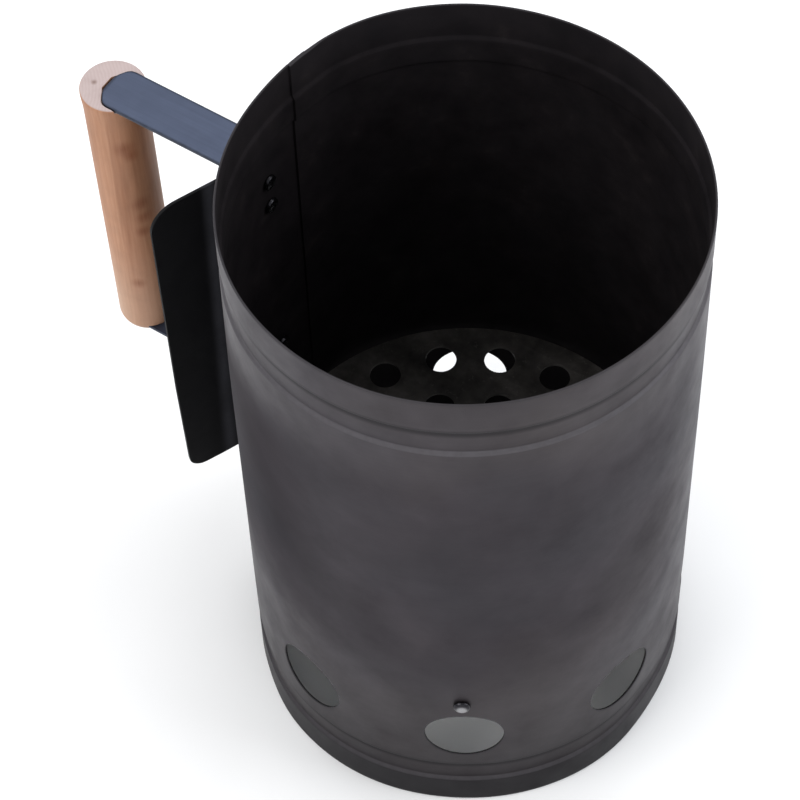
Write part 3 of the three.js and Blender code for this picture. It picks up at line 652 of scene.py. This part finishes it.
# ------------------------------------------------------------------ chimney shell
def build_shell():
    cols = [VENT_FIRST + 1.25 * j for j in range(288)]
    base = len(cols)
    extra = [SEAM0 - 0.035, SEAM0 + 0.035, SEAM1 - 0.035, SEAM1 + 0.035]
    norm = sorted(((c - VENT_FIRST) % 360.0, c) for c in cols + extra)
    phis = [VENT_FIRST + a for a, _ in norm]
    col_of = {round(p, 4): k for k, p in enumerate(phis)}
    nc = len(phis)

    def groove(z):
        d = 0.0
        for z0, z1, z2, z3 in GROOVES:
            d = max(d, min(smooth((z / mm - z0) / (z1 - z0)), smooth((z3 - z / mm) / (z3 - z2))))
        return d * SWAGE

    def wavy(p, z):
        t = rad(p)
        return 0.09 * mm * (math.sin(3 * t + 11 * z) * 0.5 + math.sin(5 * t - 17 * z + 1.3) * 0.3 + math.sin(2 * t + 31 * z + 0.4) * 0.35
                            + math.sin(9 * t + 23 * z + 2.0) * 0.12) * min(1.0, z / (30 * mm)) - 0.10 * mm * min(1.0, z / (30 * mm)) + out_of_round(p, z)

    def joggle(p):
        """(outer, inner) radial offset of the lap: the sheet from the low side slips behind the other one."""
        q = (p - VENT_FIRST) % 360.0 + VENT_FIRST
        if q < SEAM0:
            k = smooth((q - (SEAM0 - 7.0)) / 6.5)
            return -0.22 * mm * k, -WALL * k
        if q < SEAM1:
            return 0.0, -WALL
        return 0.0, 0.0

    # rings of the closed section: outside going up, the rim, inside going down, the foot
    zo = [0.55, 1.6, 3.0, 4.6, 6.2, 7.8, 9.4, 11.0, 12.6, 13.9]
    zo += [14.8 + 1.6 * k / 6 for k in range(7)] + [17.2, 18.8, 20.4, 22.0, 23.6, 25.2] + [26.6 + 1.8 * k / 6 for k in range(7)]
    zo += [29.1 + 1.8 * k for k in range(25)]
    z = 75.0
    while z < 238:
        zo.append(z)
        z += 3.3
    zo += [238.6, 240.0] + [240.6 + 1.6 * k / 6 for k in range(7)] + [243.4, 245.4, 247.4, 249.4, 251.4] + [252.6 + 1.8 * k / 6 for k in range(7)]
    zo += [254.9, 256.5, 258.5, 261.0, 263.5, 266.0, 268.4, 269.55]
    zo = sorted(set(round(v, 4) for v in zo))
    rings = [("o", v * mm, 0.0) for v in zo]
    rim = []
    for k in range(1, 6):
        a = rad(180 * k / 6)
        rim.append(("r", (269.6 + 0.4 * math.sin(a)) * mm, (0.4 - 0.4 * math.cos(a)) * mm))
    rings += rim
    zi = [v for v in zo if v > 7.0]
    rings += [("i", v * mm, 0.0) for v in reversed(zi)]
    rings += [("i", 6.35 * mm, 0.0), ("i", 6.2 * mm, 0.12 * mm), ("i", 6.05 * mm, 0.42 * mm), ("i", 5.85 * mm, 0.68 * mm), ("i", 5.5 * mm, 0.8 * mm),
              ("i", 4.2 * mm, 0.8 * mm), ("i", 2.4 * mm, 0.8 * mm), ("i", 0.8 * mm, 0.8 * mm)]
    for k in range(1, 8):
        a = rad(180 * k / 8)
        rings.append(("f", (0.62 - 0.62 * math.sin(a)) * mm, (0.8 + 0.8 * math.cos(a)) * mm))
    nr = len(rings)
    verts, wear, inside, skin = [], [], [], []
    for kind, z, off in rings:
        for p in phis:
            jo, ji = joggle(p)
            if kind == "o":
                r = BODY_R - off - groove(z) + jo
            elif kind == "i":
                r = BODY_R - WALL - off - groove(z) + ji
            elif kind == "r":
                f = off / (0.8 * mm)
                r = BODY_R - off + jo * (1 - f) + ji * f
            else:
                f = off / (1.6 * mm)
                r = BODY_R - off + jo * (1 - f) + ji * f
            r += wavy(p, z)
            t = rad(p)
            verts.append((AX + r * math.cos(t), r * math.sin(t), z))
            w = 0.0
            if kind in ("r", "f"):
                w = 1.0
            if kind == "o" and z > 269.5 * mm:
                w = 0.5
            if kind == "o" and abs(((p - VENT_FIRST) % 360 + VENT_FIRST) - SEAM0) < 0.05:
                w = 0.8
            wear.append(w)
            inside.append(1.0 if kind == "i" else (0.45 if kind == "r" and off > 0.3 * mm else 0.0))
            skin.append(1.0 if kind == "o" else 0.0)
    skip = set()
    windows = []
    zrow = {}
    for i, (kind, z, off) in enumerate(rings):
        if off == 0.0:
            zrow[(kind, round(z / mm, 3))] = i
    w0, w1 = round(VENT_Z / mm - 21.6, 3), round(VENT_Z / mm + 21.6, 3)
    for v in range(VENT_COUNT):
        pc = VENT_FIRST + VENT_PITCH * (v - 2)
        lo = ((pc - 15.0 - VENT_FIRST) % 360.0) + VENT_FIRST
        c0 = col_of[round(lo, 4)]
        csel = [(c0 + k) % nc for k in range(25)]
        for side in ("o", "i"):
            i0, i1 = zrow[(side, w0)], zrow[(side, w1)]
            a, b = min(i0, i1), max(i0, i1)
            for i in range(a, b):
                for c in csel[:-1]:
                    skip.add((i, c))
            rowlist = list(range(i0, i1 + 1)) if i0 < i1 else list(range(i0, i1 - 1, -1))   # from low z to high z
            loop = [(rowlist[0], c) for c in csel] + [(r, csel[-1]) for r in rowlist[1:]]
            loop += [(rowlist[-1], c) for c in reversed(csel[:-1])] + [(r, csel[0]) for r in reversed(rowlist[1:-1])]
            windows.append((v, side, pc, loop))
    faces = []
    for i in range(nr):
        i2 = (i + 1) % nr
        for c in range(nc):
            if (i, c) in skip:
                continue
            c2 = (c + 1) % nc
            faces.append((i * nc + c, i * nc + c2, i2 * nc + c2, i2 * nc + c))
    # polar patches round the vents
    edges = {}
    for v, side, pc, loop in windows:
        pts = []
        for (i, c) in loop:
            q = ((phis[c] - pc + 180) % 360) - 180
            pts.append((BODY_R * rad(q), rings[i][1] - VENT_Z))
        n = len(loop)
        prev = [i * nc + c for i, c in loop]
        for frac in (0.62, 0.36, 0.18, 0.07, 0.0, -1, -2):
            cur = []
            for (s, h) in pts:
                t = math.atan2(h, s)
                rr = VENT_R + (0.16 * mm if frac >= 0 else 0.0)
                cs, ch = BODY_R * math.asin(max(-1, min(1, rr * math.cos(t) / BODY_R))), rr * math.sin(t)
                f = max(frac, 0.0)
                s2, h2 = cs + (s - cs) * f, ch + (h - ch) * f
                p = pc + math.degrees(s2 / BODY_R)
                zz = VENT_Z + h2
                r = BODY_R + wavy(p, zz) - (WALL if side == "i" else 0.0)
                if frac == -1:
                    r += (-0.16 if side == "o" else 0.16) * mm
                if frac == -2:
                    r += (-0.32 if side == "o" else 0.32) * mm
                tt = rad(p)
                cur.append(len(verts))
                verts.append((AX + r * math.cos(tt), r * math.sin(tt), zz))
                wear.append(1.0 if frac <= 0.0 else (0.25 if frac < 0.1 else 0.0))
                inside.append(1.0 if side == "i" and frac >= 0 else (0.8 if side == "i" else 0.4 if frac < 0 else 0.0))
                skin.append(1.0 if side == "o" and frac > 0 else 0.0)
            for k in range(n):
                faces.append((prev[k], prev[(k + 1) % n], cur[(k + 1) % n], cur[k]))
            prev = cur
        edges[(v, side)] = prev
    for v in range(VENT_COUNT):
        a, b = edges[(v, "o")], edges[(v, "i")]
        n = len(a)
        for k in range(n):
            faces.append((a[k], a[(k + 1) % n], b[(k + 1) % n], b[k]))
    ob = make_object("chimney_shell", verts, faces, 46, {"wear": wear, "inside": inside, "skin": skin}, [BODY_M])
    fix_normals(ob)
    return ob


shell = build_shell()
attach(shell, "root")
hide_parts("body_shell")

# ------------------------------------------------------------------ grate
def build_grate():
    cu = bpy.data.curves.new("grate_outline", "CURVE")
    cu.dimensions = "2D"
    cu.fill_mode = "BOTH"
    cu.extrude = GRATE_T / 2 - 0.16 * mm
    cu.bevel_depth = 0.16 * mm
    cu.bevel_resolution = 2

    def circle(cx, cy, r, n):
        sp = cu.splines.new("POLY")
        sp.points.add(n - 1)
        for k in range(n):
            t = 2 * math.pi * k / n
            sp.points[k].co = (cx + r * math.cos(t), cy + r * math.sin(t), 0, 1)
        sp.use_cyclic_u = True
    circle(0, 0, 79.4 * mm - 0.16 * mm, 192)
    for pitch, count, radius in ((0, 1, 6.5), (22.5, 6, 6.0), (44, 12, 6.0), (65.5, 18, 6.0)):
        for i in range(count):
            a = rad(RIVET_AZ) + 2 * math.pi * (i + 0.5) / count
            circle(pitch * mm * math.cos(a), pitch * mm * math.sin(a), radius * mm + 0.16 * mm, 36)
    tmp = bpy.data.objects.new("grate_tmp", cu)
    bpy.context.scene.collection.objects.link(tmp)
    dg = bpy.context.evaluated_depsgraph_get()
    me = bpy.data.meshes.new_from_object(tmp.evaluated_get(dg))
    bpy.data.objects.remove(tmp)
    bpy.data.curves.remove(cu)
    bm = bmesh.new()
    bm.from_mesh(me)
    bmesh.ops.remove_doubles(bm, verts=bm.verts, dist=1e-6)
    bmesh.ops.translate(bm, verts=bm.verts, vec=(AX, 0, GRATE_Z + GRATE_T / 2))
    bmesh.ops.recalc_face_normals(bm, faces=bm.faces)
    bm.to_mesh(me)
    bm.free()
    for p in me.polygons:
        p.use_smooth = True
    me.set_sharp_from_angle(angle=rad(32))
    me.materials.clear()
    me.materials.append(GRATE_M)
    disc = bpy.data.objects.new("grate_disc", me)
    bpy.context.scene.collection.objects.link(disc)
    parts = [disc]
    ro = 81.3 * mm - GRATE_T / 2
    top = GRATE_Z + GRATE_T / 2
    path = [(77.6 * mm, top), (78.6 * mm, top)] + arc2(ro - 1.5 * mm, top - 1.5 * mm, 1.5 * mm, 90, 0, 8)
    zl = top - 2.4 * mm
    while zl > 67.2 * mm:
        path.append((ro, zl))
        zl -= 0.9 * mm
    path.append((ro, 67.0 * mm))
    half = []
    for u, v in path:
        d = v - 67.0 * mm
        h = 8.2 * mm
        if d < 4.0 * mm:
            h = 4.2 * mm + math.sqrt(max(0.0, 16.0 - (4.0 - d / mm) ** 2)) * mm
        half.append(h)
    for i in range(RIVET_COUNT):
        a0 = rad(RIVET_AZ + 360 / RIVET_COUNT * i)

        def place(u, w, v, a0=a0):
            k = smooth((u / mm - 77.0) / 3.0)
            straight = Vector((AX + u * math.cos(a0) - w * math.sin(a0), u * math.sin(a0) + w * math.cos(a0), v))
            t = a0 + w / (81 * mm)
            bent = Vector((AX + u * math.cos(t), u * math.sin(t), v))
            return straight.lerp(bent, k)
        parts.append(strap(f"ear_{i}", path, half, GRATE_T - 0.02 * mm, place, 0.2 * mm, mats=[GRATE_M]))
    return join("fire_grate", parts)


grate = build_grate()
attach(grate, "root")
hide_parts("grate")

# ------------------------------------------------------------------ rivets
def rivet(name, start, direction, grip, mat, node, head=3.25, high=2.1, tail=3.1, thin=1.5):
    """Domed head at the far end of the grip, upset tail at the start."""
    p = [(0, -thin), (tail - 0.9, -thin), (tail - 0.35, -thin + 0.15), (tail - 0.08, -thin + 0.5), (tail, -0.35), (tail - 0.15, -0.08), (tail - 0.4, 0.0),
         (2.0, 0.0), (2.0, grip), (head - 0.15, grip), (head - 0.02, grip + 0.12)]
    for k in range(0, 10):
        a = rad(4 + 84 * k / 9)
        p.append((head * math.cos(a) ** 0.92, grip + 0.22 + (high - 0.22) * math.sin(a)))
    p.append((0, grip + high))
    z = Vector(direction).normalized()
    x = z.orthogonal().normalized()
    rot = Matrix((x, z.cross(x), z)).transposed()
    s = Vector(start)

    def place(v):
        return s + rot @ v
    # painted highlight mask: 1 on the top of the dome, where the lamps' glint is painted in
    top = [smooth((h - grip - 0.74 * high) / (0.22 * high)) for r, h in p]
    apex_highlight = [top[0]] + [t for t in top[1:-1] for _ in range(40)] + [top[-1]]
    ob = lathe(name, [(r * mm, h * mm) for r, h in p], 40, place, 35, {"apex_highlight": apex_highlight}, mats=[mat])
    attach(ob, "root")
    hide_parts(node)
    return ob


for i in range(RIVET_COUNT):
    az = RIVET_AZ + 360 / RIVET_COUNT * i
    a = rad(az)
    d = Vector((math.cos(a), math.sin(a), 0))
    f = 79.8 * mm + out_of_round(az, RIVET_Z)
    rivet(f"grate_rivet_head_{i + 1}", Vector((AX, 0, RIVET_Z)) + d * f, d, 82.8 - 79.8, RIVET_M, f"grate_rivet_{i + 1}")
for which, z0, sgn in (("upper", ARM_TOP, -1), ("lower", 2 * ARM_MID - ARM_TOP, 1)):
    for i, drop in enumerate((10.5, 23.5)):
        d = Vector((-1, 0, 0))
        settle(rivet(f"{which}_foot_rivet_{i + 1}", Vector((AX, 0, z0 + sgn * drop * mm)) + d * 81.4 * mm, d, 84.6 - 81.4, RIVET_M,
                     f"{which}_arm_rivet_{i + 1}"))
up_face = ARM_TOP - ARM_T - 0.3 * mm
low_under = 2 * ARM_MID - ARM_TOP
low_face = low_under - 0.3 * mm
g = (ARM_TOP + 0.3 * mm - (up_face - 1.5 * mm)) / mm
settle(rivet("tab_rivet_upper", (AX - 90.2 * mm, 0, up_face - 1.5 * mm), (0, 0, 1), g, DARK_RIVET_M, "shield_rivet_upper"))
g = (low_under + ARM_T + 0.3 * mm - (low_face - 1.5 * mm)) / mm
settle(rivet("tab_rivet_lower", (AX - 90.2 * mm, 0, low_under + ARM_T + 0.3 * mm), (0, 0, -1), g, DARK_RIVET_M, "shield_rivet_lower"))

# ------------------------------------------------------------------ arms
TIP = ((141.8, 9.0), (143.4, 8.7), (144.6, 7.8), (145.7, 6.2), (146.8, 4.3), (147.5, 3.3), (148.0, 2.4))


def tip_half(u):
    return float(np.interp(u, [t[0] for t in TIP], [t[1] for t in TIP]))


def arm_path(tang):
    mid = ARM_TOP - ARM_T / 2
    x0 = 83.55 * mm
    path, half = [], []
    z = 201.8 * mm
    for d in (0, 0.25, 0.6, 1.1, 1.8, 2.7, 3.8, 5.0, 7.0, 10, 13, 16, 19, 22, 24.5):
        path.append((x0, z + d * mm))
        half.append((4.0 + math.sqrt(max(0.0, 25 - (5 - d) ** 2)) if d < 5 else 9.0) * mm)
    for p in arc2(x0 + 3.45 * mm, mid - 3.45 * mm, 3.45 * mm, 180, 90, 14):
        path.append(p)
        half.append(9.0 * mm)
    for x in (90, 95, 100, 105, 110, 115, 120, 125, 130, 134, 138, 140.5, 141.8, 142.6, 143.4, 144.0, 144.6, 145.2):
        path.append((x * mm, mid))
        half.append(tip_half(x) * mm)
    if tang:
        for k, p in enumerate(arc2(146.05 * mm, mid - 1.2 * mm, 1.2 * mm, 90, 0, 10)):
            path.append(p)
            half.append(tip_half(146.05 + 1.95 * math.sin(rad(9 * k))) * mm)
        for z in (229.8, 228, 226, 224, 222, 220.5, 219.4, 218.8, 218.3):
            path.append((147.25 * mm, z * mm))
            half.append(min(2.4, 1.6 + (z - 218.3) * 0.8) * mm)
    else:
        for x in (145.7, 146.3, 146.8, 147.2, 147.5, 147.8, 148.0):
            path.append((x * mm, mid))
            half.append(tip_half(x) * mm)
    return path, half


path, half = arm_path(True)
upper = strap("handle_arm_upper", path, half, ARM_T, lambda u, w, v: Vector((AX - u, -w, v)), 0.24 * mm, mats=[ARM_M])
path, half = arm_path(False)
lower = strap("handle_arm_lower", path, half, ARM_T, lambda u, w, v: Vector((AX - u, w, 2 * ARM_MID - v)), 0.24 * mm, mats=[ARM_M])
for ob, node in ((upper, "upper_arm"), (lower, "lower_arm")):
    settle(ob)
    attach(ob, "root")
    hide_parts(node)

# ------------------------------------------------------------------ heat shield
def build_shield():
    T, R0, bend, halfw, flare, br = 1.2, 94.9, 6.5, 34.2, rad(23.5), 8.0
    z0, z1, corner = 61.0, 222.0, 11.0
    tan = br * math.tan(flare / 2)
    pts = []
    y = 0.0
    while y < bend - tan - 0.5:
        pts.append((R0, y))
        y += 1.6
    for k in range(13):
        a = flare * k / 12
        pts.append((R0 + br - br * math.cos(a), bend - tan + br * math.sin(a)))
    lx, ly = pts[-1]
    run = (halfw - ly) / math.cos(flare)
    steps = [0.05, 0.13, 0.22, 0.31, 0.40, 0.49, 0.57]
    tail = [1 - d / (run / 1.0) for d in (10.5, 9.2, 8.0, 6.6, 5.2, 4.0, 2.9, 1.9, 1.1, 0.5, 0.15, 0.0)]
    for f in sorted(set([s for s in steps if s < tail[0] - 0.02] + tail)):
        d = run * f
        pts.append((lx + d * math.sin(flare), ly + d * math.cos(flare)))
    full = [(x, -y) for x, y in reversed(pts[1:])] + pts
    # developed distance from the nearer side edge
    cum = [0.0]
    for a, b in zip(full, full[1:]):
        cum.append(cum[-1] + math.hypot(b[0] - a[0], b[1] - a[1]))
    total = cum[-1]
    half = []
    for s in cum:
        d = min(s, total - s)
        h = (z1 - z0) / 2
        if d < corner:
            h = h - corner + math.sqrt(max(0.0, corner ** 2 - (corner - d) ** 2))
        half.append(h * mm)
    path = [(x * mm, y * mm) for x, y in full]
    zc = (z0 + z1) / 2 * mm

    low_half = []
    for s in cum:
        d = min(s, total - s)
        h = (z1 - z0) / 2
        if d < 7.0:
            h = h - 7.0 + math.sqrt(max(0.0, 7.0 ** 2 - (7.0 - d) ** 2))
        low_half.append(h * mm)
    side = [(y * mm, a / b) for (x, y), a, b in zip(full, low_half, half) if y >= 0]

    def place(u, w, v):
        # the lower corners are tighter than the upper ones, and pulled in by the folding
        if w < 0:
            w *= float(np.interp(abs(v), [k[0] for k in side], [k[1] for k in side]))
        k = 1 - 0.035 * smooth((100 * mm - (zc + w)) / (40 * mm)) * smooth((abs(v) - 18 * mm) / (15 * mm))
        return Vector((AX - u, v * k, zc + w))
    plate = strap("shield_plate", path, half, T * mm, place, 0.22 * mm, mats=[SHIELD_M])
    # opening for the lower arm
    bm = bmesh.new()
    bmesh.ops.create_cube(bm, size=1.0)
    w, lo, hi = 9.8 * mm, low_under - 0.3 * mm, low_under + 11.5 * mm
    bmesh.ops.transform(bm, verts=bm.verts, matrix=Matrix.Translation((AX - R0 * mm, 0, (lo + hi) / 2)) @ Matrix.Diagonal((8 * mm, 2 * w, hi - lo, 1)))
    bmesh.ops.bevel(bm, geom=[e for e in bm.edges if abs((e.verts[0].co - e.verts[1].co).normalized().x) > 0.9], offset=1.2 * mm, segments=4, affect="EDGES")
    me = bpy.data.meshes.new("cut")
    bm.to_mesh(me)
    bm.free()
    cut = bpy.data.objects.new("cut", me)
    bpy.context.scene.collection.objects.link(cut)
    bpy.context.view_layer.update()
    plate = boolean(plate, [cut], sharp=40)
    parts = [plate]
    xo = R0 * mm
    for face, root in ((up_face, z1 * mm - 6 * mm), (low_face, low_face - 9 * mm)):
        r = 2.0 * mm
        mid = face - 0.6 * mm
        p = [(xo, root), (xo, root + 0.5 * mm)]
        zz = root + 1.2 * mm
        while zz < mid - r - 0.2 * mm:
            p.append((xo, zz))
            zz += 1.0 * mm
        p += arc2(xo - r, mid - r, r, 0, 90, 10)
        for x in (92, 91, 90, 89.2, 88.5, 88.0, 87.5, 87.2, 87.0, 86.8):
            p.append((x * mm, mid))
        hf = []
        for u, v in p:
            h = 4.8
            d = u / mm - 86.8
            if d < 1.6:
                h = 3.2 + math.sqrt(max(0, 1.6 ** 2 - (1.6 - d) ** 2))
            hf.append(h * mm)
        parts.append(strap("tab", p, hf, 1.18 * mm, lambda u, w, v: Vector((AX - u, w, v)), 0.2 * mm, mats=[SHIELD_M]))
    return join("hand_shield", parts)


shield = build_shield()
settle(shield)
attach(shield, "root")
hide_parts("heat_shield")

# ------------------------------------------------------------------ wooden grip
def prism(points, z0, z1):
    """Upright prism with the given plan (x, y), as a cutter."""
    n = len(points)
    verts = [(x, y, z0) for x, y in points] + [(x, y, z1) for x, y in points]
    faces = [tuple(range(n - 1, -1, -1)), tuple(range(n, 2 * n))] + [(k, (k + 1) % n, n + (k + 1) % n, n + k) for k in range(n)]
    me = bpy.data.meshes.new("cut")
    me.from_pydata(verts, [], faces)
    ob = bpy.data.objects.new("cut", me)
    bpy.context.scene.collection.objects.link(ob)
    fix_normals(ob)
    return ob


def arm_plan(clear, start=128.0):
    out = [(start, 9.0 + clear)] + [(u + clear * 0.7, h + clear) for u, h in TIP[:-1]] + [(148.0 + clear, 2.4 + clear)]
    return [((AX - u * mm), h * mm) for u, h in out] + [((AX - u * mm), -h * mm) for u, h in reversed(out)]


def build_grip():
    R, bottom, top = GRIP_R / mm, GRIP_BOTTOM / mm, GRIP_TOP / mm
    prof = [(0, bottom), (2.0, bottom), (4.0, bottom)]
    rb = 6.5
    for r, z in arc2(R - rb, bottom + rb, rb, 276, 360, 12):
        prof.append((r, z))
    z = bottom + rb + 2
    while z < top - 9:
        prof.append((R, z))
        z += 2.5
    # the end is spread a little where the arm is driven on
    for d in (8, 6.5, 5, 3.6, 2.4, 1.4):
        prof.append((R + 0.40 * smooth((9 - d) / 8), top - d))
    for k in range(1, 6):
        a = rad(90 * k / 5)
        prof.append((R + 0.40 - 0.8 + 0.8 * math.cos(a), top - 0.8 + 0.8 * math.sin(a)))
    prof += [(8, top), (4.5, top), (1.5, top), (0, top)]
    gx = AX - GRIP_X

    def wob(t, z):
        e = min(1.0, max(0.0, (z - GRIP_BOTTOM) / 0.012)) * min(1.0, max(0.0, (GRIP_TOP - z) / 0.004))
        return -0.10 * mm * e * (0.5 + 0.5 * math.sin(2 * t + 24 * z) * math.cos(3 * t - 13 * z))
    ob = lathe("grip_dowel", [(r * mm, z * mm) for r, z in prof], 96, lambda v: Vector((gx + v.x, v.y, v.z)), 32, mats=[WOOD_M], wobble=wob)
    slot = [(AX - u * mm, w * mm) for u, w in ((146.2, -2.7), (148.3, -2.7), (148.3, 2.7), (146.2, 2.7))]
    cuts = [prism(arm_plan(0.3), 231.0 * mm, 236 * mm), prism(slot, 218.0 * mm, 233 * mm), prism(arm_plan(0.3), 101.2 * mm, 103.3 * mm)]
    bpy.context.view_layer.update()
    return boolean(ob, cuts, sharp=32)


grip = build_grip()
settle(grip)
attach(grip, "root")
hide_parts("wooden_grip")

# ------------------------------------------------------------------ stage
def floor_material():
    m = Mat("studio_floor")
    col = m.ramp(m.noise(2.0, 3, 0.5), [(0.3, (0.925, 0.925, 0.928)), (0.7, (0.955, 0.955, 0.955))])
    return m.set(base=col, rough=0.85, metal=0.0, spec=0.2, normal=m.bump(m.noise(90, 3, 0.5), 0.05, 0.0005))


def build_floor():
    n = 24
    size = 12.0
    verts = [(-size / 2 + size * i / n, -size / 2 + size * j / n, -0.0004) for j in range(n + 1) for i in range(n + 1)]
    return make_object("studio_floor", verts, grid_faces(n + 1, n + 1, False), 30, None, [floor_material()])


floor = build_floor()

world = bpy.data.worlds.new("studio")
bpy.context.scene.world = world
world.use_nodes = True
bg = world.node_tree.nodes["Background"]
bg.inputs[0].default_value = (0.95, 0.97, 1.0, 1)
bg.inputs[1].default_value = 0.70


def area(name, loc, target, size, power, color=(1, 1, 1)):
    li = bpy.data.lights.new(name, "AREA")
    li.shape = "RECTANGLE"
    li.size, li.size_y = size
    li.energy = power
    li.color = color
    ob = bpy.data.objects.new(name, li)
    ob.location = loc
    ob.rotation_euler = (Vector(target) - Vector(loc)).to_track_quat("-Z", "Y").to_euler()
    bpy.context.scene.collection.objects.link(ob)
    return ob


CAM = Vector((0.372262, -0.513830, 1.062117))
RIGHT = Vector((0.836124, 0.548013, -0.024060))
UP = Vector((-0.443485, 0.701153, 0.558306))
FWD = Vector((-0.322829, 0.456143, -0.829286))
flat_right = Vector((RIGHT.x, RIGHT.y, 0)).normalized()
flat_fwd = Vector((FWD.x, FWD.y, 0)).normalized()
mid = Vector((AX, 0, 0.14))
area("key_softbox", mid - flat_right * 1.6 - flat_fwd * 0.9 + Vector((0, 0, 1.9)), mid, (1.5, 1.5), 27, (1.0, 0.985, 0.965))
area("fill_softbox", mid + flat_right * 1.9 - flat_fwd * 0.2 + Vector((0, 0, 1.3)), mid, (1.4, 1.6), 23, (0.96, 0.98, 1.0))
area("top_softbox", mid + flat_fwd * 1.0 + Vector((0, 0, 2.3)), mid, (2.2, 1.4), 26)
area("low_softbox", mid - flat_fwd * 2.3 + Vector((0, 0, 0.75)), mid, (3.2, 0.9), 7)

cam_data = bpy.data.cameras.new("camera")
cam_data.sensor_fit = "HORIZONTAL"
cam_data.sensor_width = 36.0
cam_data.lens = 138.198
cam_data.clip_start = 0.01
cam_data.clip_end = 50
cam = bpy.data.objects.new("camera", cam_data)
rot = Matrix((RIGHT, UP, -FWD)).transposed()
cam.matrix_world = Matrix.Translation(CAM) @ rot.to_4x4()
bpy.context.scene.collection.objects.link(cam)
bpy.context.scene.camera = cam
bpy.context.scene.view_settings.view_transform = "Standard"
bpy.context.scene.view_settings.look = "None"
